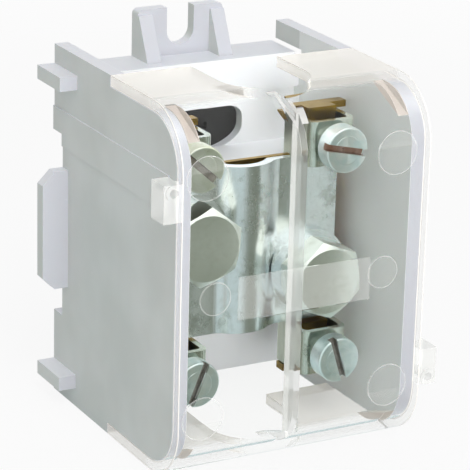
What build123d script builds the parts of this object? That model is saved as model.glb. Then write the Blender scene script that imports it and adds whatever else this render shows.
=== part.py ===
"""Distribution terminal that snaps on a 35 mm rail: a grey housing, a clear cover, a brass body
with one saddle clamp for the main conductor and four screw clamps for the taps.

Millimetres. X runs across the housing, +Y to the rail, +Z up.
The origin is the middle of the housing's face that lies on the rail."""
import os
from math import cos, radians, sin

from build123d import *

# Overall size
width = 49.0
height = 68.0
depth = 52.0

# Rail seat
rail_width = 35.0
rail_play = 0.6
seat_depth = 3.7
hook_reach = 1.9
hook_gap = 1.5
hook_width = 20.0
hook_relief = 1.2

# Housing
wall = 2.7
panel_thick = 5.7
skin = 2.2
top_drop = 3.9
edge_round = 0.5
rib_pitch = 8.6
rib_thick = 2.4

# Fixing ear
ear_width = 17.7
ear_rise = 5.2
ear_thick = 2.4
slot_width = 5.6
slot_floor = 1.9
gusset_width = 2.8
gusset_foot = 4.4

# Joining tabs between neighbours
tab_reach = 3.45
tab_depth = 9.9
tab_thick = 2.65
tab_drop = 3.65
tongue_reach = 5.1
tongue_height = 22.8
tongue_thick = 2.5
tongue_cut = 2.4
socket_play = 0.15

# Cover
lid_thick = 2.0
lid_round = 11.0
lid_length = 28.2
lid_gap = 0.15
cable_width = 17.5
cable_depth = 18.8
fin_thick = 1.2
fin_depth = 3.6
brace_thick = 1.95
brace_angle = 35.0
plate_width = 26.5
plate_height = 8.0
plate_sink = 0.25
mark_sink = 0.2
mark_edge = 3.0
mark_level = 22.0
mark_radius = 4.0
small_mark_edge = 5.0
small_mark_radius = 3.0
snap_reach = 3.5
snap_depth = 4.7
snap_height = 6.8
snap_level = 18.9
band_height = 6.9
band_proud = 0.25
eye_radius = 0.8
eye_ring = 1.45

# Brass body
body_half = 13.4
web_top = 16.8
web_low = 15.0
web_thick = 1.0
core_half = 9.4
body_front = 24.8
body_thick = 8.0
body_gap = 2.6
bar_width = 5.8
bar_back = 2.6
bar_rise = 2.2
bar_step = 15.8
bar_tip = 25.8
lip_width = 11.4
lip_shift = 0.7
lip_height = 1.3
lip_thick = 2.4
seat_half = 13.5
seat_gap = 2.8

# Main clamp
bolt_edge = 6.7
bolt_z = 4.9
bolt_dia = 8.0
bolt_flats = 13.0
bolt_head = 5.3
bolt_length = 16.0
thread_play = 0.05
sheet = 1.6
saddle_edge = 0.7
saddle_top = 16.7
saddle_low = 15.1
saddle_side = 15.6
arch_half = 4.6
arch_rise = 2.3
arch_bend = 3.0
washer_dia = 15.6
washer_thick = 1.6
lock_dia = 14.0
lock_thick = 2.0
washer_play = 0.2

# Tap clamps
tap_edge = 4.7
tap_z = 20.1
cage_height = 8.4
cage_room = 3.2
cage_gap = 0.5
cage_sheet = 1.1
cage_play = 0.75
tap_dia = 5.0
tap_head_dia = 8.5
tap_head = 3.3
tap_stand = 2.0
tip_gap = 0.05
tap_slot = 1.3
tap_slot_deep = 1.6

# Body screws
fix_z = 6.0
fix_dia = 4.0
fix_head_dia = 7.0
fix_head = 2.4
fix_bite = 5.5

# Rail latch
window_half = 9.7
window_top = 22.0
window_mid = 17.3
window_low = 12.5
latch_half = 11.0
latch_low = 10.9
latch_rise = 14.0
latch_plate = 2.0
latch_neck_half = 8.0
latch_travel = 2.6
latch_play = 0.15
latch_slot_width = 7.0
latch_slot_height = 1.6
latch_slot_deep = 1.2

# Derived levels
y_rear = seat_depth
y_face = y_rear - depth
y_lid = y_face + lid_thick
y_wall = y_lid + lid_gap
y_panel = -panel_thick
y_lid_rear = y_face + lid_length
z_wall = height / 2 - lid_thick - lid_gap
z_top = height / 2 - top_drop
z_low = -(height / 2 - lid_thick)
half_in = width / 2 - wall
notch_half = (rail_width + rail_play) / 2
body_rear = body_front - body_thick
body_width = 2 * (half_in - body_gap)
seat_width = 2 * (half_in - seat_gap)
bar_rear = body_front - bar_back
bar_front = body_front + bar_rise
bolt_x = body_width / 2 - bolt_edge
tap_x = body_width / 2 - tap_edge
fix_x = bolt_x
saddle_half_width = body_width / 2 - saddle_edge
arch_radius = (arch_half ** 2 + arch_rise ** 2) / (2 * arch_rise)
y_arch = -body_front - arch_rise + arch_radius
washer_back = body_front + sheet
latch_high = latch_low + latch_rise
cage_back = bar_rear - cage_gap - cage_sheet
cage_front = bar_front + cage_room + cage_sheet
tap_length = cage_front + tap_stand - bar_front - tip_gap

os.makedirs("parts", exist_ok=True)


# Housing
with BuildPart() as base:
    # Side walls with a rounded front, a step for the cover and the rail notch
    with BuildSketch(Plane.YZ.offset(-width / 2)) as wall_profile:
        with Locations(((y_wall + y_rear) / 2, 0)):
            Rectangle(y_rear - y_wall, 2 * z_wall)
        fillet(wall_profile.vertices().group_by(Axis.X)[0], lid_round - lid_thick - lid_gap)
        with Locations(((y_lid_rear + lid_gap + y_rear) / 2, 0)):
            Rectangle(y_rear - y_lid_rear - lid_gap, height)
        with Locations((y_rear, 0)):
            Rectangle(2 * seat_depth, 2 * notch_half, mode=Mode.SUBTRACT)
    extrude(amount=wall)
    mirror(about=Plane.YZ)
    # Back panel, open at the rail
    with BuildSketch(Plane.YZ) as panel_profile:
        with Locations(((y_panel + y_rear) / 2, (z_top + z_low) / 2)):
            Rectangle(y_rear - y_panel, z_top - z_low)
        with Locations((y_rear, 0)):
            Rectangle(2 * seat_depth, 2 * notch_half, mode=Mode.SUBTRACT)
    extrude(amount=half_in, both=True)
    # Pedestal for the brass body
    with BuildSketch(Plane.XZ.offset(panel_thick)):
        Rectangle(seat_width, 2 * seat_half)
    extrude(amount=body_rear - panel_thick)
    # Fixing ear with its slot
    with BuildSketch(Plane.XZ.offset(-y_rear)) as ear_profile:
        with Locations((0, (z_top + height / 2 + ear_rise) / 2)):
            Rectangle(ear_width, height / 2 + ear_rise - z_top)
        fillet(ear_profile.vertices().group_by(Axis.Y)[-1], 2 * edge_round)
        with Locations((0, z_top + slot_floor + slot_width / 2)):
            Circle(slot_width / 2, mode=Mode.SUBTRACT)
        with Locations((0, z_top + slot_floor + slot_width / 2 + ear_rise + top_drop)):
            Rectangle(slot_width, 2 * (ear_rise + top_drop), mode=Mode.SUBTRACT)
    extrude(amount=ear_thick)
    # Gussets at both sides of the ear
    for side in (-1, 1):
        x_in = ear_width / 2 - gusset_width
        start = x_in if side > 0 else -ear_width / 2
        with BuildSketch(Plane.YZ.offset(start)):
            with BuildLine():
                Polyline(
                    (y_rear - ear_thick, z_top),
                    (y_rear - ear_thick, height / 2 + ear_rise - 2 * edge_round),
                    (y_rear - ear_thick - edge_round, height / 2 + ear_rise - 2 * edge_round),
                    (y_rear - ear_thick - gusset_foot, z_top),
                    close=True,
                )
            make_face()
        extrude(amount=gusset_width)
    # Tabs and tongue that reach into the next housing
    with BuildSketch(Plane.YZ.offset(-width / 2)):
        for side in (-1, 1):
            with Locations((y_rear - tab_depth / 2, side * (height / 2 - tab_drop - tab_thick / 2))):
                Rectangle(tab_depth, tab_thick)
    extrude(amount=-tab_reach)
    with BuildSketch(Plane.XZ) as tongue_profile:
        with Locations((-width / 2 - tongue_reach / 2, 0)):
            Rectangle(tongue_reach, tongue_height)
        chamfer(tongue_profile.vertices().group_by(Axis.X)[0], tongue_cut)
    extrude(amount=tongue_thick)
    # Their sockets in the right wall
    with BuildSketch(Plane.YZ.offset(width / 2)):
        for side in (-1, 1):
            reach = tab_depth + socket_play
            with Locations((y_rear - reach / 2, side * (height / 2 - tab_drop - tab_thick / 2))):
                Rectangle(reach, tab_thick + 2 * socket_play)
    extrude(amount=-(tab_reach + socket_play), mode=Mode.SUBTRACT)
    with BuildSketch(Plane.XZ):
        with Locations((width / 2 - (tongue_reach + socket_play) / 2, 0)):
            Rectangle(tongue_reach + socket_play, tongue_height + 2 * socket_play)
    extrude(amount=tongue_thick + socket_play, mode=Mode.SUBTRACT)
    # Bands that lead to the cover's snaps
    y_band = y_face + snap_depth + lid_gap
    for side in (-1, 1):
        with BuildSketch(Plane.YZ.offset(side * width / 2)):
            with Locations(((y_rear + y_band) / 2, -side * snap_level)):
                Rectangle(y_rear - y_band, band_height)
            with Locations((y_rear, 0)):
                Rectangle(2 * seat_depth, 2 * notch_half, mode=Mode.SUBTRACT)
        extrude(amount=side * band_proud)
    # Rear pockets between ribs
    with BuildSketch(Plane.XZ.offset(-y_rear)):
        count = int(2 * half_in // rib_pitch)
        with Locations((0, -(notch_half - z_low) / 2)):
            with GridLocations(rib_pitch, 1, count, 1):
                RectangleRounded(rib_pitch - rib_thick, -z_low - notch_half - 2 * skin, 0.8)
        for side in (-1, 1):
            with Locations((side * (half_in + latch_half + 1.2) / 2, (notch_half + z_top) / 2)):
                RectangleRounded(half_in - latch_half - 3.6, z_top - notch_half - 2 * skin, 0.8)
    extrude(amount=y_rear - y_panel - skin, mode=Mode.SUBTRACT)
    # Fixed hook under the rail's lower lip
    with BuildSketch(Plane.YZ) as hook_profile:
        with BuildLine():
            Polyline(
                (hook_gap, -notch_half),
                (hook_gap, -notch_half + hook_reach - 0.6),
                (hook_gap + 0.6, -notch_half + hook_reach),
                (y_rear, -notch_half + hook_reach - 1.0),
                (y_rear, -notch_half),
                close=True,
            )
        make_face()
    extrude(amount=hook_width / 2, both=True)
    # Relief under the hook, where the mould's core comes out
    with BuildSketch(Plane.XZ) as relief_profile:
        with Locations((0, -notch_half + hook_reach / 2 + latch_play)):
            Rectangle(hook_width + 2 * latch_play, hook_reach + 2 * latch_play)
    extrude(amount=hook_relief, mode=Mode.SUBTRACT)
    # Window and sliding channel of the rail latch
    with BuildSketch(Plane.XZ.offset(panel_thick)):
        with Locations((0, window_mid)):
            Ellipse(window_half, window_mid - window_low)
        with BuildSketch(mode=Mode.PRIVATE) as window_head:
            with Locations((0, (window_mid + window_top) / 2)):
                Rectangle(2 * window_half, window_top - window_mid)
            fillet(window_head.vertices().group_by(Axis.Y)[-1], 3.2)
        add(window_head.sketch)
    extrude(amount=-skin, mode=Mode.SUBTRACT)
    y_track = skin - panel_thick
    with BuildSketch(Plane.XZ.offset(-y_track)):
        with Locations((0, (latch_low + latch_high + latch_travel) / 2)):
            Rectangle(2 * (latch_half + latch_play),
                      latch_high - latch_low + latch_travel + 2 * latch_play)
    extrude(amount=-(latch_plate + 2 * latch_play), mode=Mode.SUBTRACT)
    with BuildSketch(Plane.XZ.offset(-y_track)):
        with Locations((0, (latch_low + latch_high + latch_travel) / 2)):
            Rectangle(2 * (latch_neck_half + latch_play),
                      latch_high - latch_low + latch_travel + 2 * latch_play)
    extrude(amount=-(y_rear - y_track), mode=Mode.SUBTRACT)
    # Room behind the brass for the tips of the main bolts
    with BuildSketch(Plane.XZ.offset(body_rear)):
        with Locations((-bolt_x, bolt_z), (bolt_x, -bolt_z)):
            Circle(bolt_dia / 2 + 0.75)
    extrude(amount=-(bolt_length - (body_front - body_rear) + 1.0), mode=Mode.SUBTRACT)
    # Stepped holes for the body screws
    with BuildSketch(Plane.XZ):
        with Locations((-fix_x, -fix_z), (fix_x, fix_z)):
            Circle(fix_dia / 2 + washer_play)
    extrude(amount=body_rear, mode=Mode.SUBTRACT)
    with BuildSketch(Plane.XZ):
        with Locations((-fix_x, -fix_z), (fix_x, fix_z)):
            Circle(fix_head_dia / 2 + 0.3)
    extrude(amount=fix_head + 0.4, mode=Mode.SUBTRACT)
base.part.label = "base"
export_step(base.part, "parts/base.step")


# Clear cover
with BuildPart() as cover:
    with BuildSketch(Plane.YZ) as lid_profile:
        with Locations(((y_face + y_lid_rear) / 2, 0)):
            Rectangle(lid_length, height)
        fillet(lid_profile.vertices().group_by(Axis.X)[0], lid_round)
        with BuildSketch(mode=Mode.PRIVATE) as lid_inside:
            with Locations(((y_lid + y_lid_rear) / 2, 0)):
                Rectangle(lid_length - lid_thick, height - 2 * lid_thick)
            fillet(lid_inside.vertices().group_by(Axis.X)[0], lid_round - lid_thick)
        add(lid_inside.sketch, mode=Mode.SUBTRACT)
    extrude(amount=width / 2, both=True)
    # Cable notches in both flanges
    cable_round = cable_width / 2
    y_cable = y_lid_rear - cable_depth + cable_round
    with BuildSketch(Plane.XY) as cable_profile:
        with Locations((0, y_cable)):
            Circle(cable_round)
        with Locations((0, (y_cable + y_lid_rear) / 2)):
            Rectangle(cable_width, y_lid_rear - y_cable)
    extrude(amount=height, both=True, mode=Mode.SUBTRACT)
    # Middle fin behind the front
    with BuildSketch(Plane.YZ) as fin_profile:
        add(lid_inside.sketch)
        with Locations((y_lid + fin_depth + lid_length / 2, 0)):
            Rectangle(lid_length, height, mode=Mode.SUBTRACT)
    extrude(amount=fin_thick / 2, both=True)
    # Braces in the four corners, just inside the walls
    y_centre = y_face + lid_round
    z_centre = height / 2 - lid_round
    r_in = lid_round - lid_thick
    with BuildSketch(Plane.YZ) as brace_profile:
        add(lid_inside.sketch)
        with BuildLine():
            Polyline(
                (y_centre + 2.0, height / 2 - lid_thick),
                (y_centre - r_in * cos(radians(brace_angle)), z_centre + r_in * sin(radians(brace_angle))),
                (y_centre - r_in * cos(radians(brace_angle)), -height),
                (y_lid_rear, -height),
                (y_lid_rear, height / 2 - lid_thick),
                close=True,
            )
        make_face(mode=Mode.SUBTRACT)
        with Locations((y_lid, 0)):
            Rectangle(lid_length, 2 * (z_centre + r_in * sin(radians(brace_angle))), mode=Mode.SUBTRACT)
        split(bisect_by=Plane.XZ, keep=Keep.BOTTOM)
        mirror(about=Plane.XZ)
    x_brace = half_in - lid_gap - brace_thick
    for start in (x_brace, -x_brace - brace_thick):
        extrude(brace_profile.sketch.moved(Location((start, 0, 0))), amount=brace_thick)
    # Snaps beside the walls, upper left and lower right
    for side in (-1, 1):
        with BuildSketch(Plane.XZ.offset(-y_face)) as snap_profile:
            with Locations((side * (width / 2 + snap_reach / 2), -side * snap_level)):
                Rectangle(snap_reach, snap_height)
        extrude(amount=-lid_thick)
        with BuildSketch(Plane.XZ.offset(-y_face)):
            x_arm = width / 2 + band_proud + lid_gap
            with Locations((side * (x_arm + width / 2 + snap_reach) / 2, -side * snap_level)):
                Rectangle(width / 2 + snap_reach - x_arm, snap_height)
        extrude(amount=-snap_depth)
        eye = (side * (width / 2 + snap_reach / 2), -side * (snap_level + 2.0))
        with BuildSketch(Plane.XZ.offset(-y_face)):
            with Locations(eye):
                Circle(eye_ring)
        extrude(amount=0.3)
        with BuildSketch(Plane.XZ.offset(-y_face + 0.3)):
            with Locations(eye):
                Circle(eye_radius)
        extrude(amount=-snap_depth - 0.3, mode=Mode.SUBTRACT)
    # Bare field on the front and round marks inside
    with BuildSketch(Plane.XZ.offset(-y_face)):
        RectangleRounded(plate_width, plate_height, 0.6)
    extrude(amount=-plate_sink, mode=Mode.SUBTRACT)
    with BuildSketch(Plane.XZ.offset(-y_lid)):
        for side in (-1, 1):
            for level in (-mark_level, mark_level):
                with Locations((side * (half_in - mark_edge), level)):
                    Circle(mark_radius)
            with Locations((side * (half_in - small_mark_edge), 0)):
                Circle(small_mark_radius)
    extrude(amount=mark_sink, mode=Mode.SUBTRACT)
cover.part.label = "cover"
export_step(cover.part, "parts/cover.step")


# Brass body
with BuildPart() as terminal_body:
    with BuildSketch(Plane.XZ.offset(body_rear)):
        Rectangle(body_width, 2 * body_half)
    extrude(amount=body_front - body_rear)
    # Thin web under the ends of the saddle
    with BuildSketch(Plane.XZ.offset(body_front - web_thick)):
        with Locations((0, (web_top - web_low) / 2)):
            Rectangle(2 * core_half, web_top + web_low)
    extrude(amount=web_thick)
    # Bars for the tap clamps, which come forward beyond the saddle
    with BuildSketch(Plane.XZ.offset(bar_rear)):
        with Locations((-tap_x, 0), (tap_x, 0)):
            Rectangle(bar_width, 2 * bar_tip)
    extrude(amount=body_front - bar_rear)
    bar_ends = [(sx, sz) for sx in (-1, 1) for sz in (-1, 1)]
    with BuildSketch(Plane.XZ.offset(bar_rear)):
        for sx, sz in bar_ends:
            with Locations((sx * tap_x, sz * (bar_step + bar_tip) / 2)):
                Rectangle(bar_width, bar_tip - bar_step)
    extrude(amount=bar_front - bar_rear)
    # Lips that stop the clamps at the bars' tips
    with BuildSketch(Plane.XZ.offset(bar_rear)):
        for sx, sz in bar_ends:
            with Locations((sx * (tap_x + lip_shift), sz * (bar_tip - lip_height / 2))):
                Rectangle(lip_width, lip_height)
    extrude(amount=lip_thick)
    # Threaded bores, plain at the thread's outer radius
    with BuildSketch(Plane.XZ):
        with Locations((-bolt_x, bolt_z), (bolt_x, -bolt_z)):
            Circle(bolt_dia / 2 + thread_play)
    extrude(amount=2 * body_front, mode=Mode.SUBTRACT)
    with BuildSketch(Plane.XZ.offset(body_rear)):
        with Locations((-fix_x, -fix_z), (fix_x, fix_z)):
            Circle(fix_dia / 2 + thread_play)
    extrude(amount=fix_bite + 0.5, mode=Mode.SUBTRACT)
terminal_body.part.label = "terminal_body"
export_step(terminal_body.part, "parts/terminal_body.step")


# Saddle over the main conductor: a bent sheet with a shallow arch
with BuildPart() as saddle:
    with BuildSketch(Plane.XY.offset(-saddle_low)) as saddle_profile:
        with Locations((0, -body_front - sheet / 2)):
            Rectangle(2 * saddle_half_width, sheet)
        with Locations((0, y_arch)):
            Circle(arch_radius + sheet)
        with Locations((0, -body_front + height / 2)):
            Rectangle(width, height, mode=Mode.SUBTRACT)
        with Locations((0, y_arch)):
            Circle(arch_radius, mode=Mode.SUBTRACT)
        bends = saddle_profile.vertices().filter_by_position(Axis.X, -width / 4, width / 4)
        fillet(bends.group_by(Axis.Y)[0], arch_bend)
    extrude(amount=saddle_low + saddle_top)
    # Corners cut back for the tap clamps
    with BuildSketch(Plane.XZ):
        for sx in (-1, 1):
            with Locations((sx * (core_half + width / 2), saddle_side + height / 2)):
                Rectangle(width, height)
    extrude(amount=depth, mode=Mode.SUBTRACT)
    # Bolt holes, with flat seats for the washers
    with BuildSketch(Plane.XZ):
        with Locations((-bolt_x, bolt_z), (bolt_x, -bolt_z)):
            Circle(bolt_dia / 2 + washer_play)
    extrude(amount=depth, mode=Mode.SUBTRACT)
    with BuildSketch(Plane.XZ.offset(washer_back)):
        with Locations((-bolt_x, bolt_z), (bolt_x, -bolt_z)):
            Circle(washer_dia / 2 + washer_play)
    extrude(amount=depth, mode=Mode.SUBTRACT)
saddle.part.label = "saddle"
export_step(saddle.part, "parts/saddle.step")


# Main bolts with their washers
lock_back = washer_back + washer_thick
head_back = lock_back + lock_thick
for name, sx in (("left", -1), ("right", 1)):
    spot = (sx * bolt_x, -sx * bolt_z)
    with BuildPart() as washer:
        with BuildSketch(Plane.XZ.offset(washer_back)):
            with Locations(spot):
                Circle(washer_dia / 2)
                Circle(bolt_dia / 2 + washer_play, mode=Mode.SUBTRACT)
        extrude(amount=washer_thick)
    washer.part.label = "washer_" + name
    export_step(washer.part, "parts/washer_" + name + ".step")

    with BuildPart() as spring_washer:
        with BuildSketch(Plane.XZ.offset(lock_back)):
            with Locations(spot):
                Circle(lock_dia / 2)
                Circle(bolt_dia / 2 + washer_play, mode=Mode.SUBTRACT)
            with Locations((spot[0] + sx * lock_dia / 2, spot[1])):
                Rectangle(lock_dia - bolt_dia, 1.0, rotation=25, mode=Mode.SUBTRACT)
        extrude(amount=lock_thick)
    spring_washer.part.label = "spring_washer_" + name
    export_step(spring_washer.part, "parts/spring_washer_" + name + ".step")

    with BuildPart() as main_bolt:
        with BuildSketch(Plane.XZ.offset(head_back)):
            with Locations(spot):
                RegularPolygon(bolt_flats / 2, 6, major_radius=False, rotation=30 + 8 * sx)
        extrude(amount=bolt_head)
        # Chamfered crown of the head
        with BuildSketch(Plane.XZ.offset(head_back + bolt_head)):
            with Locations(spot):
                Circle(bolt_flats * 0.47)
        extrude(amount=-bolt_head, taper=-60, mode=Mode.INTERSECT)
        with BuildSketch(Plane.XZ.offset(head_back)):
            with Locations(spot):
                Circle(bolt_dia / 2)
        extrude(amount=-(bolt_length - 0.8))
        with BuildSketch(Plane.XZ.offset(head_back - bolt_length + 0.8)):
            with Locations(spot):
                Circle(bolt_dia / 2)
        extrude(amount=-0.8, taper=40)
    main_bolt.part.label = "main_bolt_" + name
    export_step(main_bolt.part, "parts/main_bolt_" + name + ".step")


# Tap clamps: a bent box round the bar and its slotted screw, which bears on the bar.
# The slots lie as they were left after tightening.
taps = (("top_left", -1, 1, -41), ("top_right", 1, 1, -13),
        ("bottom_left", -1, -1, 68), ("bottom_right", 1, -1, -73))
cage_inside = bar_width + 2 * cage_play
for name, sx, sz, turn in taps:
    spot = (sx * tap_x, sz * tap_z)
    with BuildPart() as clamp_cage:
        with BuildSketch(Plane.XY.offset(sz * tap_z - cage_height / 2)):
            with Locations((spot[0], -(cage_front + cage_back) / 2)):
                RectangleRounded(cage_inside + 2 * cage_sheet, cage_front - cage_back, 1.5 * cage_sheet)
                RectangleRounded(cage_inside, cage_front - cage_back - 2 * cage_sheet,
                                 cage_play, mode=Mode.SUBTRACT)
        extrude(amount=cage_height)
        with BuildSketch(Plane.XZ.offset(cage_front)):
            with Locations(spot):
                Circle(tap_dia / 2 + thread_play)
        extrude(amount=-cage_sheet, mode=Mode.SUBTRACT)
    clamp_cage.part.label = "clamp_cage_" + name
    export_step(clamp_cage.part, "parts/clamp_cage_" + name + ".step")

    head = cage_front + tap_stand
    with BuildPart() as clamp_screw:
        with BuildSketch(Plane.XZ.offset(head)):
            with Locations(spot):
                Circle(tap_head_dia / 2)
        extrude(amount=tap_head)
        fillet(clamp_screw.edges().group_by(Axis.Y)[0], 0.4)
        with BuildSketch(Plane.XZ.offset(head + tap_head)):
            with Locations(spot):
                Rectangle(2 * tap_head_dia, tap_slot, rotation=turn)
        extrude(amount=-tap_slot_deep, mode=Mode.SUBTRACT)
        with BuildSketch(Plane.XZ.offset(head)):
            with Locations(spot):
                Circle(tap_dia / 2)
        extrude(amount=-(tap_length - 0.6))
        with BuildSketch(Plane.XZ.offset(head - tap_length + 0.6)):
            with Locations(spot):
                Circle(tap_dia / 2)
        extrude(amount=-0.6, taper=40)
    clamp_screw.part.label = "clamp_screw_" + name
    export_step(clamp_screw.part, "parts/clamp_screw_" + name + ".step")


# Screws that hold the brass body from behind
for name, sx in (("left", -1), ("right", 1)):
    spot = (sx * fix_x, sx * fix_z)
    with BuildPart() as body_screw:
        with BuildSketch(Plane.XZ.offset(0.4)):
            with Locations(spot):
                Circle(fix_head_dia / 2)
        extrude(amount=fix_head)
        fillet(body_screw.edges().group_by(Axis.Y)[-1], 0.7)
        with BuildSketch(Plane.XZ.offset(0.4)):
            with Locations(spot):
                Rectangle(0.9, 4.2)
                Rectangle(4.2, 0.9)
        extrude(amount=1.3, mode=Mode.SUBTRACT)
        with BuildSketch(Plane.XZ.offset(0.4 + fix_head)):
            with Locations(spot):
                Circle(fix_dia / 2)
        extrude(amount=body_rear + fix_bite - fix_head - 0.4)
    body_screw.part.label = "body_screw_" + name
    export_step(body_screw.part, "parts/body_screw_" + name + ".step")


# Sprung latch behind the rail's upper lip
with BuildPart() as rail_latch:
    with BuildSketch(Plane.XZ.offset(-y_track - latch_play)):
        with Locations((0, (latch_low + latch_high) / 2)):
            Rectangle(2 * latch_half, latch_high - latch_low)
    extrude(amount=-latch_plate)
    with BuildSketch(Plane.YZ):
        with BuildLine():
            y_plate = y_track + latch_play + latch_plate
            z_nose = notch_half - hook_reach
            Polyline(
                (y_plate, latch_low),
                (-latch_play, latch_low),
                (-latch_play, notch_half + 0.4),
                (hook_gap, notch_half + 0.4),
                (hook_gap, z_nose + 0.6),
                (hook_gap + 0.6, z_nose),
                (y_rear - 0.2, z_nose + 1.4),
                (y_rear - 0.2, latch_high),
                (y_plate, latch_high),
                close=True,
            )
        make_face()
    extrude(amount=latch_neck_half, both=True)
    # Driver slot seen through the window
    with BuildSketch(Plane.XZ.offset(-y_track - latch_play)):
        with Locations((0, window_mid)):
            RectangleRounded(latch_slot_width, latch_slot_height, latch_slot_height / 4)
    extrude(amount=-latch_slot_deep, mode=Mode.SUBTRACT)
rail_latch.part.label = "rail_latch"
export_step(rail_latch.part, "parts/rail_latch.step")
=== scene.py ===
from math import cos, radians, sin

import bpy
from mathutils import Matrix, Vector


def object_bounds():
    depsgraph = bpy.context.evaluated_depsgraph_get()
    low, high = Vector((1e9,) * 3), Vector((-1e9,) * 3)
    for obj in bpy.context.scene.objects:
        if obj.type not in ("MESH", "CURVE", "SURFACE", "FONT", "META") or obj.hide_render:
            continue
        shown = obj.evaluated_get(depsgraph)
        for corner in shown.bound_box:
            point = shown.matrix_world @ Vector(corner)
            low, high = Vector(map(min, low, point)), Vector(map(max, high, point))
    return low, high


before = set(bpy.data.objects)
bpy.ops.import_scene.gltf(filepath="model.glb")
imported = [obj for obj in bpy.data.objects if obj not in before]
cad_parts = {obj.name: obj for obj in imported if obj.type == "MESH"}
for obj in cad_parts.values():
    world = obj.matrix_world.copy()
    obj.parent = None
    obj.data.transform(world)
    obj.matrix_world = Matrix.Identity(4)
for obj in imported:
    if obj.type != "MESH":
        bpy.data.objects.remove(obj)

cad_low, cad_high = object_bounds()

MM = 0.001
WHITE = (1.0, 1.0, 1.0)

# Camera, in metres, and image, in pixels
IMAGE = 470
FOCAL_PIXELS = 2500.0
SENSOR = 36.0
CAMERA_PLACE = Vector((-0.2073, -0.4014, 0.1502))
CAMERA_TARGET = Vector((0.01412, 0.0037, -0.00845))
CAMERA_ROLL = radians(1.55)
CAMERA_REACH = (0.01, 20.0)

# Lamps, in metres and watts
LAMP_TARGET = (0.0, -0.02, 0.0)
KEY_LAMP = {"place": (-0.14, -0.60, 0.72), "size": 0.50, "power": 3.2}
FILL_LAMP = {"place": (-0.12, -0.86, -0.01), "size": 0.45, "power": 4.8}

# The plain sky lights the object. The tent and the dark card are only mirrored by it.
SKY_LEVEL = 0.52
TENT_LOW = (0.600, 0.690, 0.700)
TENT_HIGH = (1.450, 1.465, 1.450)
TENT_RISE = (-0.05, 0.50)
DARK_CARD = (0.185, 0.205, 0.160)
CARD_LEFT_EDGE = (radians(-6.0), radians(20.0))
CARD_RIGHT_EDGE = (radians(52.0), radians(74.0))
CARD_TOP_EDGE = (-0.10, 0.35)

# Floor, in metres
FLOOR_REACH = 1.2
FLOOR_FADE = (0.16, 0.50)
FLOOR_PAPER = (0.86, 0.86, 0.86)
FLOOR_SHOWN = 0.88

# Plastics
# Housing: sides and fronts are painted darker and tops lighter, as painted shade and painted
# light
SIDE_SHADED_GREY = (0.560, 0.590, 0.565)
SIDE_SHADED_PALE = (0.660, 0.690, 0.670)
TOP_LIT_LILAC = (0.740, 0.745, 0.800)
TOP_LIT_PALE = (0.800, 0.805, 0.840)
FRONT_SHADED_LILAC = (0.520, 0.528, 0.575)
FRONT_SHADED_PALE = (0.575, 0.583, 0.622)
# Housing inside: painted lighter, as painted light
INSIDE_LIT_SIDE = (0.800, 0.825, 0.815)
INSIDE_LIT_BACK = (0.930, 0.935, 0.955)
SPECK_PALE = (0.850, 0.860, 0.860)
LATCH_BLACK = (0.012, 0.012, 0.012)
LATCH_WORN = (0.026, 0.026, 0.027)
CLEAR = (0.985, 0.990, 0.985)
CLEAR_TO_LAMPS = (0.970, 0.970, 0.970)
MILK = (0.960, 0.955, 0.930)
CREAM = (0.980, 0.930, 0.860)
BRACE_BEIGE = (0.800, 0.710, 0.640)

# Metals
ZINC = (0.800, 0.840, 0.840)
ZINC_DULL = (0.420, 0.450, 0.400)
# Cage steel: its dull colour also paints the sides that look left darker, as painted shade
CAGE_STEEL = (0.680, 0.720, 0.640)
CAGE_DULL_AND_SHADE = (0.300, 0.310, 0.240)
BOLT_STEEL = (0.880, 0.910, 0.850)
BOLT_DULL = (0.660, 0.680, 0.590)
SCREW_OLIVE = (0.660, 0.690, 0.550)
SCREW_BLUE = (0.680, 0.790, 0.780)
BRASS = (0.330, 0.200, 0.022)
BRASS_TARNISH = (0.150, 0.088, 0.014)
RUST = (0.200, 0.075, 0.025)
# Darker colour inside the tap screws' slots
SLOT_DARK = (0.110, 0.085, 0.060)

# How squarely a surface looks along an axis: where a face begins, and where it is full
FACE = (0.6, 0.95)
SHADED_FACE = (0.5, 0.95)
EDGE = (0.4, 0.9)

# Housing: half its room inside, and the front of its back panel, which bound the inside that is
# painted lighter as painted light
INSIDE_HALF = 21.82
PANEL_FRONT = (-5.7, -5.2)

# Cover: its faces, its rounded corner and what is moulded on it, from the middle outwards
COVER_FACE = -48.3
COVER_INSIDE = -46.3
COVER_RIM = (0.35, 1.65)
COVER_HALF_WIDTH = 24.5
FLANGE_INSIDE = 32.0
CORNER_Y, CORNER_Z, CORNER_RADIUS = -37.3, 23.0, 11.0
CORNER_BEND = 8.0
FIN_SIDE = (0.62, 0.66)
FIN_END = (31.5, 31.9)
PLATE_HALF_WIDTH, PLATE_HALF_HEIGHT = 13.25, 4.0
MARKS = [(18.8, 22.0, 4.0), (16.8, 0.0, 3.0)]        # across, up, radius
BRACE_INNER, BRACE_OUTER = 19.6, 21.75
BRACE_FOOT = (28.0, 28.2)
BRACE_BACK = (9.03, 9.1)

# How milky the clear cover is, from 0 to 1
VEIL, VEIL_CLOUD, VEIL_CURVE = 0.001, 0.007, 0.004
SIDE_MILK, SIDE_RIM_MILK = 0.20, 0.66
FLANGE_MILK = 0.50
SNAP_MILK = 0.36
RIM_MILK, RIM_BORDER_MILK = 0.40, 0.50
FIN_MILK, FIN_EDGE_MILK = 0.34, 0.60
PLATE_MILK, PLATE_EDGE_MILK = 0.20, 0.55
BRACE_MILK = 0.88
MARK_MILK, MARK_RING_MILK = 0.05, 0.28

# Tap screws: centre, head, shank and thread
TAP_SCREW_X, TAP_SCREW_Z = 14.5, 20.1
TAP_HEAD_FACE, TAP_HEAD_BACK = -36.6, -33.3
TAP_SLOT_END = (4.05, 4.15)
TAP_RADIUS, TAP_PITCH, TAP_THREAD = 2.5, 0.8, 0.35
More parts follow.
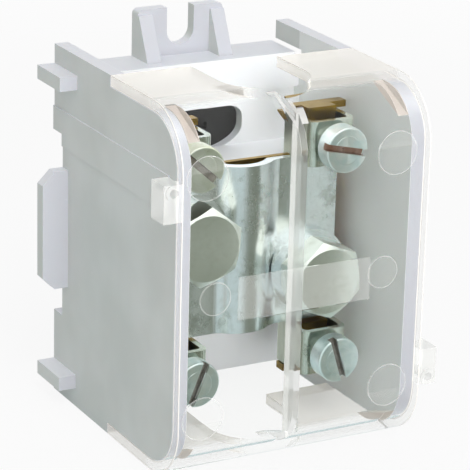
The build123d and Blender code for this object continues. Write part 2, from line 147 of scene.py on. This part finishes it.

# Each tap screw: bright plating, dull plating, colour in the slot, side and level
TAP_SCREWS = {
    "top_left": ((0.76, 0.78, 0.68), SCREW_OLIVE, SLOT_DARK, -1, 1),
    "top_right": ((0.82, 0.86, 0.84), SCREW_BLUE, RUST, 1, 1),
    "bottom_left": ((0.82, 0.89, 0.86), SCREW_BLUE, SLOT_DARK, -1, -1),
    "bottom_right": ((0.84, 0.92, 0.91), SCREW_BLUE, SLOT_DARK, 1, -1),
}


class Tone:
    """An output of a node. Arithmetic on it adds Math nodes to the same finish."""

    def __init__(self, finish, socket):
        self.finish, self.socket = finish, socket

    def maths(self, operation, *values):
        return self.finish.node("Math", {"operation": operation}, dict(enumerate(values)))

    def __add__(self, other):
        return self.maths("ADD", self, other)

    def __sub__(self, other):
        return self.maths("SUBTRACT", self, other)

    def __rsub__(self, other):
        return self.maths("SUBTRACT", other, self)

    def __mul__(self, other):
        return self.maths("MULTIPLY", self, other)

    def __truediv__(self, other):
        return self.maths("DIVIDE", self, other)

    def __pow__(self, other):
        return self.maths("POWER", self, other)

    def __abs__(self):
        return self.maths("ABSOLUTE", self)

    def __neg__(self):
        return self * -1.0

    __radd__ = __add__
    __rmul__ = __mul__

    def most(self, other):
        return self.maths("MAXIMUM", self, other)

    def over(self, level):
        return self.maths("GREATER_THAN", self, level)

    def fraction(self):
        return self.maths("FRACT", self)

    def angle(self, across):
        """The angle in radians of the direction (across, self)."""
        return self.maths("ARCTAN2", self, across)

    def smooth(self, low, high):
        """0 below low, 1 above high and a soft step between them."""
        return self.finish.node("MapRange", {"interpolation_type": "SMOOTHSTEP"},
                                {0: self, 1: low, 2: high, 3: 0.0, 4: 1.0})

    def fade(self, low, high):
        """1 below low, 0 above high and a soft step between them."""
        return 1.0 - self.smooth(low, high)

    def within(self, low, high, soft):
        """1 between low and high, with edges as wide as soft."""
        return self.smooth(low - soft, low) * self.fade(high, high + soft)


class Finish:
    """One procedural material, or the world, built node by node."""

    def __init__(self, tree):
        self.tree = tree
        self.tree.nodes.clear()

    def node(self, kind, settings=None, sockets=None, output=0):
        made = self.tree.nodes.new("ShaderNode" + kind)
        for name, value in (settings or {}).items():
            setattr(made, name, value)
        for name, value in (sockets or {}).items():
            if isinstance(value, Tone):
                self.tree.links.new(value.socket, made.inputs[name])
            elif isinstance(value, tuple) and made.inputs[name].type == "RGBA":
                made.inputs[name].default_value = (*value, 1.0)
            else:
                made.inputs[name].default_value = value
        return Tone(self, made.outputs[output])

    def split(self, vector):
        parts = self.node("SeparateXYZ", sockets={0: vector}).socket.node
        return [Tone(self, parts.outputs[axis]) for axis in range(3)]

    def place(self):
        """Where the point is, in millimetres: across, to the rail, up."""
        return [part * (1.0 / MM) for part in self.split(self.node("TexCoord", output="Object"))]

    def facing(self):
        """Which way the surface looks, as three numbers."""
        return self.split(self.node("NewGeometry", output="Normal"))

    def noise(self, size, detail=3.0, stretch=(1.0, 1.0, 1.0), roughness=0.5):
        """Cloudy noise with spots about size millimetres wide, times stretch along each axis."""
        spread = tuple(1.0 / (size * MM * part) for part in stretch)
        where = self.node("VectorMath", {"operation": "MULTIPLY"},
                          {0: self.node("TexCoord", output="Object"), 1: spread})
        return self.node("TexNoise", sockets={"Vector": where, "Scale": 1.0, "Detail": detail,
                                              "Roughness": roughness})

    def blend(self, share, first, second):
        return self.node("Mix", {"data_type": "RGBA"}, {0: share, 6: first, 7: second}, output=2)

    def bump(self, height, depth, strength=1.0, normal=None):
        """Relief of a depth in millimetres, on top of another relief where one is given."""
        sockets = {"Height": height, "Distance": depth * MM, "Strength": strength}
        if normal:
            sockets["Normal"] = normal
        return self.node("Bump", sockets=sockets)

    def surface(self, sockets):
        return self.node("BsdfPrincipled", sockets=sockets)

    def mix(self, share, first, second):
        return self.node("MixShader", sockets={0: share, 1: first, 2: second})

    def light_path(self, first, second):
        """1 for a ray of either of two kinds."""
        path = self.node("LightPath").socket.node
        return Tone(self, path.outputs[first]).most(Tone(self, path.outputs[second]))

    def mirrored(self):
        """1 for a ray that a surface has mirrored, also where it goes on through the cover."""
        path = self.node("LightPath").socket.node
        return Tone(self, path.outputs["Glossy Depth"]).over(0.5)

    def end(self, shader, kind="OutputMaterial"):
        last = self.tree.nodes.new("ShaderNode" + kind)
        self.tree.links.new(shader.socket, last.inputs["Surface"])


def new_finish(name):
    material = bpy.data.materials.new(name)
    material.use_nodes = True
    return material, Finish(material.node_tree)


def housing_plastic():
    """Pale grey moulded plastic, cloudy on its broad sides and cleaner on its faces. Its top is
    painted lighter and its sides and front darker, as painted light and painted shade, and its
    inside is painted lighter, as painted light.
    """
    material, f = new_finish("housing_plastic")
    across, forward, _ = f.facing()
    x, y, _ = f.place()
    cloud = f.noise(17.0, detail=2.5)
    streak = f.noise(5.0, detail=2.0, stretch=(1.0, 1.0, 5.0))
    speck = f.noise(0.9, detail=2.0).smooth(0.70, 0.76) * 0.12
    grain = f.noise(0.35, detail=2.0)
    # painted light and shade: sides, fronts and tops each take their own lit or shaded colours
    side, front = abs(across).smooth(*FACE), (-forward).smooth(*FACE)
    side_shade_colour = f.blend(cloud.smooth(0.35, 0.68) * 0.7 + streak * 0.3, SIDE_SHADED_GREY, SIDE_SHADED_PALE)
    top_light_front_shade = f.blend(front, f.blend(cloud, TOP_LIT_LILAC, TOP_LIT_PALE),
                   f.blend(cloud, FRONT_SHADED_LILAC, FRONT_SHADED_PALE))
    # painted light: the inside of the housing is painted lighter
    lit_inside = abs(x).fade(INSIDE_HALF, INSIDE_HALF + 0.05) * y.fade(*PANEL_FRONT)
    side_shade_colour = f.blend(lit_inside * 0.8, side_shade_colour, INSIDE_LIT_SIDE)
    top_light_front_shade = f.blend(lit_inside, top_light_front_shade, INSIDE_LIT_BACK)
    colour = f.blend(speck, f.blend(side, top_light_front_shade, side_shade_colour), SPECK_PALE)
    normal = f.bump(grain, 0.03, 0.5, f.bump(streak, 0.12, 0.25))
    f.end(f.surface({"Base Color": colour, "Roughness": 0.34 + cloud * 0.16 + grain * 0.08,
                     "Normal": normal, "Subsurface Weight": 0.05}))
    return material


def mark_milk(width, height, y):
    """The round marks behind the cover's face: a faint disc in a clearer ring."""
    marks = None
    for across, up, radius in MARKS:
        out = ((width - across) ** 2.0 + (height - up) ** 2.0) ** 0.5
        ring = out.within(radius - 0.08, radius + 0.03, 0.08) * MARK_RING_MILK
        disc = out.fade(radius - 0.1, radius) * MARK_MILK
        mark = ring.most(disc)
        marks = mark if marks is None else marks.most(mark)
    return marks * y.within(COVER_INSIDE - 0.3, COVER_INSIDE + 0.05, 0.05)


def cover_milk(f):
    """How milky the clear cover is at each place, and where that milk is warm."""
    x, y, z = f.place()
    across, forward, up = f.facing()
    width, height = abs(x), abs(z)
    past_corner = (CORNER_Y - y).most(0.0) ** 2.0 + (height - CORNER_Z).most(0.0) ** 2.0
    rim = 1.0 - (CORNER_RADIUS - past_corner ** 0.5).within(*COVER_RIM, 0.25)
    ends = width.within(COVER_HALF_WIDTH - 0.15, COVER_HALF_WIDTH + 0.05, 0.1)
    flange = height.smooth(FLANGE_INSIDE - 0.2, FLANGE_INSIDE) \
        * y.smooth(CORNER_Y - 1.0, CORNER_Y + 2.0)
    flange_edge = flange * abs(up).fade(*EDGE) * (1.0 - ends)
    fin = width.fade(*FIN_SIDE) * y.smooth(COVER_INSIDE + 0.02, COVER_INSIDE + 0.1) \
        * height.fade(*FIN_END)
    fin_edge = fin * abs(across).fade(*EDGE)
    plate = width.fade(PLATE_HALF_WIDTH - 0.05, PLATE_HALF_WIDTH) \
        * height.fade(PLATE_HALF_HEIGHT - 0.05, PLATE_HALF_HEIGHT) \
        * y.within(COVER_FACE + 0.05, COVER_FACE + 0.4, 0.05)
    plate_edge = plate * abs(forward).fade(*EDGE)
    from_corner = ((y - CORNER_Y) ** 2.0 + (height - CORNER_Z) ** 2.0) ** 0.5
    brace = width.within(BRACE_INNER, BRACE_OUTER, 0.05) * height.smooth(*BRACE_FOOT) \
        * from_corner.fade(*BRACE_BACK)
    snaps = width.smooth(COVER_HALF_WIDTH + 0.05, COVER_HALF_WIDTH + 0.15)
    curve = (1.0 - flange) * height.smooth(CORNER_Z, CORNER_Z + CORNER_BEND)
    milk = VEIL + f.noise(12.0).smooth(0.35, 0.8) * VEIL_CLOUD + curve * VEIL_CURVE
    for part in (ends * (SIDE_MILK + rim * SIDE_RIM_MILK), flange * FLANGE_MILK,
                 snaps * SNAP_MILK, flange_edge * (RIM_MILK + rim * RIM_BORDER_MILK),
                 fin * FIN_MILK, fin_edge * FIN_EDGE_MILK, plate * PLATE_MILK,
                 plate_edge * PLATE_EDGE_MILK, brace * BRACE_MILK,
                 mark_milk(width, height, y)):
        milk = milk.most(part)
    return milk, flange.most(ends * 0.6), brace, plate, flange


def clear_plastic():
    """Glossy clear plastic with milky rims, edges and fields. It lets the lamps' light pass."""
    material, f = new_finish("clear_plastic")
    milk, warm, brace, plate, flange = cover_milk(f)
    haze = f.noise(9.0)
    scuff = f.noise(0.5, stretch=(1.0, 1.0, 12.0))
    normal = f.bump(scuff, 0.004, 0.3)
    clear = f.surface({"Base Color": CLEAR, "Roughness": 0.02 + haze * 0.03 + plate * 0.10,
                       "Normal": normal, "Transmission Weight": 1.0, "IOR": 1.03,
                       "Coat Weight": 0.08 + flange * 0.6, "Coat Roughness": 0.03,
                       "Coat IOR": 1.5})
    tint = f.blend(brace, f.blend(warm, MILK, CREAM), BRACE_BEIGE)
    milky = f.surface({"Base Color": tint, "Roughness": 0.28 + haze * 0.2, "Normal": normal})
    passing = f.node("BsdfTransparent", sockets={"Color": CLEAR_TO_LAMPS})
    lighting = f.light_path("Is Shadow Ray", "Is Diffuse Ray")
    f.end(f.mix(lighting, f.mix(milk, clear, milky), passing))
    return material


def latch_plastic():
    """Black plastic, rubbed a little paler in patches."""
    material, f = new_finish("latch_plastic")
    cloud = f.noise(6.0)
    grain = f.noise(0.3, detail=2.0)
    f.end(f.surface({"Base Color": f.blend(cloud, LATCH_BLACK, LATCH_WORN),
                     "Roughness": 0.3 + cloud * 0.2, "Specular IOR Level": 0.3,
                     "Normal": f.bump(grain, 0.02, 0.5)}))
    return material


def plated(name, bright, dull, stained, rough, lines=(1.0, 1.0, 1.0), shade=0.0):
    """Metal with fine tool lines and dull patches. Where shade is given, the sides that look
    left are painted darker in the dull colour, as painted shade.
    """
    material, f = new_finish(name)
    across, _, _ = f.facing()
    cloud = f.noise(6.0)
    patch = f.noise(1.6, detail=4.0, roughness=0.6)
    fine = f.noise(0.25, stretch=lines)
    spot = f.noise(0.32, detail=2.0).smooth(0.55, 0.80)
    share = (cloud * 0.6 + patch * 0.4).smooth(0.62 - stained, 0.80 - stained * 0.5)
    share = share.most(spot * 0.4)
    # painted shade: the sides that look left take the dull colour
    if shade:
        share = share.most((-across).smooth(*SHADED_FACE) * shade)
    normal = f.bump(fine, 0.008, 0.6, f.bump(patch, 0.02, 0.3))
    f.end(f.surface({"Base Color": f.blend(share, bright, dull), "Metallic": 1.0,
                     "Normal": normal, "Roughness": rough + share * 0.14 + fine * 0.08}))
    return material


def screw_steel(name, bright, dull, slot_colour, side, level):
    """Plated tap screw, with its slot coloured darker and a thread on its shank."""
    material, f = new_finish(name)
    x, y, z = f.place()
    beside, above = x - side * TAP_SCREW_X, z - level * TAP_SCREW_Z
    out = (beside ** 2.0 + above ** 2.0) ** 0.5
    cloud = f.noise(2.2)
    fine = f.noise(0.22)
    # the inside of the slot is coloured darker
    slot = y.smooth(TAP_HEAD_FACE + 0.25, TAP_HEAD_FACE + 0.7) * out.fade(*TAP_SLOT_END) \
        * y.fade(TAP_HEAD_BACK - 0.15, TAP_HEAD_BACK)
    smear = y.fade(TAP_HEAD_FACE, TAP_HEAD_FACE + 0.2) * cloud.smooth(0.62, 0.85) * 0.35
    plating = f.blend(cloud.smooth(0.35, 0.7), bright, dull)
    colour = f.blend(slot.most(smear) * (0.6 + cloud * 0.5), plating, slot_colour)
    shank = out.fade(TAP_RADIUS + 0.05, TAP_RADIUS + 0.15)
    turn = (y / TAP_PITCH + above.angle(beside) / radians(360.0)).fraction()
    thread = abs(turn - 0.5) * 2.0 * shank
    normal = f.bump(thread, TAP_THREAD, 1.0, f.bump(fine, 0.01, 0.5))
    f.end(f.surface({"Base Color": colour, "Metallic": 1.0 - slot * 0.7, "Normal": normal,
                     "Roughness": 0.32 + cloud * 0.14 + slot * 0.2}))
    return material


def dress(finishes):
    """Gives each carried-over solid its finish."""
    for name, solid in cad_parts.items():
        material = finishes[next(part for part in finishes if name.startswith(part))]
        for slot in solid.material_slots:
            slot.material = material


def add_to_scene(made):
    bpy.context.scene.collection.objects.link(made)


def place_camera():
    """The camera at the photograph's place, aim and roll."""
    data = bpy.data.cameras.new("camera")
    data.sensor_width = SENSOR
    data.lens = FOCAL_PIXELS / IMAGE * SENSOR
    data.clip_start, data.clip_end = CAMERA_REACH
    look = (CAMERA_TARGET - CAMERA_PLACE).normalized()
    side = look.cross(Vector((0, 0, 1))).normalized()
    rise = side.cross(look)
    right = side * cos(CAMERA_ROLL) + rise * sin(CAMERA_ROLL)
    up = rise * cos(CAMERA_ROLL) - side * sin(CAMERA_ROLL)
    turn = Matrix((right, up, -look)).transposed().to_4x4()
    camera = bpy.data.objects.new("camera", data)
    camera.matrix_world = Matrix.Translation(CAMERA_PLACE) @ turn
    add_to_scene(camera)
    bpy.context.scene.camera = camera


def lamp(name, place, size, power):
    """A soft square lamp that lights the object and isn't mirrored in it."""
    data = bpy.data.lights.new(name, "AREA")
    data.shape, data.size, data.energy = "SQUARE", size, power
    made = bpy.data.objects.new(name, data)
    made.location = place
    made.rotation_mode = "QUATERNION"
    aim = Vector(LAMP_TARGET) - Vector(place)
    made.rotation_quaternion = aim.to_track_quat("-Z", "Y")
    made.visible_glossy = made.visible_transmission = False
    add_to_scene(made)


def light_scene():
    """A plain sky and two lamps. The metal mirrors a white tent with one dark card."""
    world = bpy.data.worlds.new("studio")
    bpy.context.scene.world = world
    world.use_nodes = True
    f = Finish(world.node_tree)
    seen = f.light_path("Is Camera Ray", "Is Transmission Ray")
    mirrored = f.mirrored()
    x, y, z = f.split(f.node("TexCoord", output="Generated"))
    turn = x.angle(-y)
    card = turn.smooth(*CARD_LEFT_EDGE) * turn.fade(*CARD_RIGHT_EDGE) * z.fade(*CARD_TOP_EDGE)
    tent = f.blend(card, f.blend(z.smooth(*TENT_RISE), TENT_LOW, TENT_HIGH), DARK_CARD)
    level = SKY_LEVEL + (1.0 - SKY_LEVEL) * seen.most(mirrored)
    f.end(f.node("Background", sockets={"Color": f.blend(mirrored, WHITE, tent),
                                        "Strength": level}), "OutputWorld")
    lamp("key", **KEY_LAMP)
    lamp("fill", **FILL_LAMP)


def lay_floor():
    """White paper that keeps a soft shadow and fades into the white around it."""
    corners = [(across * FLOOR_REACH, along * FLOOR_REACH, cad_low.z)
               for across, along in ((-1, -1), (1, -1), (1, 1), (-1, 1))]
    mesh = bpy.data.meshes.new("floor")
    mesh.from_pydata(corners, [], [(0, 1, 2, 3)])
    floor = bpy.data.objects.new("floor", mesh)
    add_to_scene(floor)
    material, f = new_finish("floor_paper")
    x, y, _ = f.split(f.node("TexCoord", output="Object"))
    far = ((x * x + y * y) ** 0.5).smooth(*FLOOR_FADE)
    paper = f.node("BsdfDiffuse", sockets={"Color": FLOOR_PAPER})
    white = f.node("Emission", sockets={"Color": WHITE, "Strength": 1.0})
    seen = f.light_path("Is Camera Ray", "Is Transmission Ray")
    shown = f.mix(seen * FLOOR_SHOWN, paper, white)
    f.end(f.mix(far.most(f.mirrored()), shown, f.node("BsdfTransparent")))
    mesh.materials.append(material)


bpy.context.scene.view_settings.view_transform = "Standard"
place_camera()
light_scene()
lay_floor()

zinc = plated("zinc_plate", ZINC, ZINC_DULL, stained=0.16, rough=0.19, lines=(1.0, 1.0, 14.0))
washer_zinc = plated("zinc_washer", ZINC, ZINC_DULL, stained=0.08, rough=0.14)
cage_steel = plated("cage_steel", CAGE_STEEL, CAGE_DULL_AND_SHADE, stained=0.14, rough=0.16,
                    lines=(1.0, 6.0, 1.0), shade=0.8)
bolt_steel = plated("bolt_steel", BOLT_STEEL, BOLT_DULL, stained=0.14, rough=0.25)
brass = plated("brass", BRASS, BRASS_TARNISH, stained=0.20, rough=0.28, lines=(1.0, 1.0, 8.0))
finishes = {"base": housing_plastic(), "cover": clear_plastic(), "rail_latch": latch_plastic(),
            "terminal_body": brass, "saddle": zinc, "washer": washer_zinc,
            "spring_washer": washer_zinc, "clamp_cage": cage_steel, "main_bolt": bolt_steel,
            "body_screw": bolt_steel}
for place, looks in TAP_SCREWS.items():
    finishes["clamp_screw_" + place] = screw_steel("screw_" + place, *looks)
dress(finishes)
